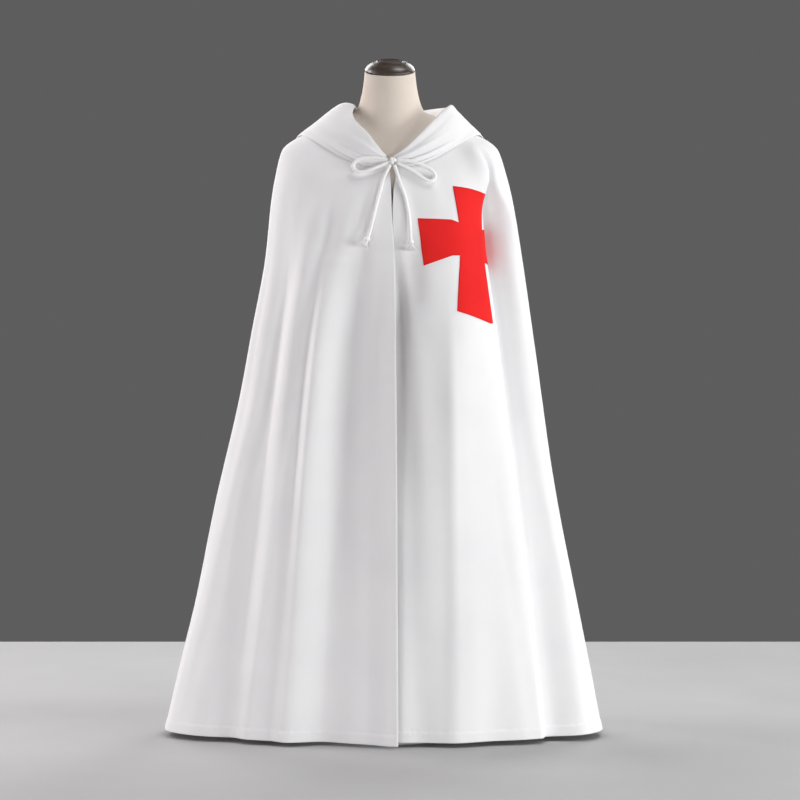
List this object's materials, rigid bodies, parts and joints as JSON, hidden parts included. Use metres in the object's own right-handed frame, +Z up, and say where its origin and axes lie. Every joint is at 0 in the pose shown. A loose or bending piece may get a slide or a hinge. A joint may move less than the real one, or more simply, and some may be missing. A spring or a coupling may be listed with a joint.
{
  "type": "hooded cape on a dress form",
  "caption": "Long hooded cape of white cloth with a sewn-on flared cross, tied at the neck with a cord bow, hanging on a limbless dress form on a disc-footed stand.",
  "frame": {"origin": "centre of the stand's base on the floor", "axes": "+Z up, front towards -Y, wearer's left towards +X"},
  "size_m": [0.9151, 0.5225, 1.4185],
  "materials": {
    "cloth_white": "matt woven cloth",
    "cross_red": "matt woven cloth",
    "cord_white": "twisted cotton cord",
    "form_linen": "stretched linen",
    "cap_wood": "dark stained and waxed",
    "stand_metal": "satin"
  },
  "bodies": {
    "root": {"cape_front_right": "cloth_white", "cape_front_left": "cloth_white", "cape_back": "cloth_white", "hood_right": "cloth_white", "hood_left": "cloth_white", "cross": "cross_red", "tie_knot": "cord_white", "tie_loop_right": "cord_white", "tie_loop_left": "cord_white", "tie_tail_right": "cord_white", "tie_tail_left": "cord_white", "tail_knot_right": "cord_white", "tail_knot_left": "cord_white", "form_torso": "form_linen", "form_cap": "cap_wood", "stand_pole": "stand_metal", "stand_base": "stand_metal"}
  },
  "joints": []
}
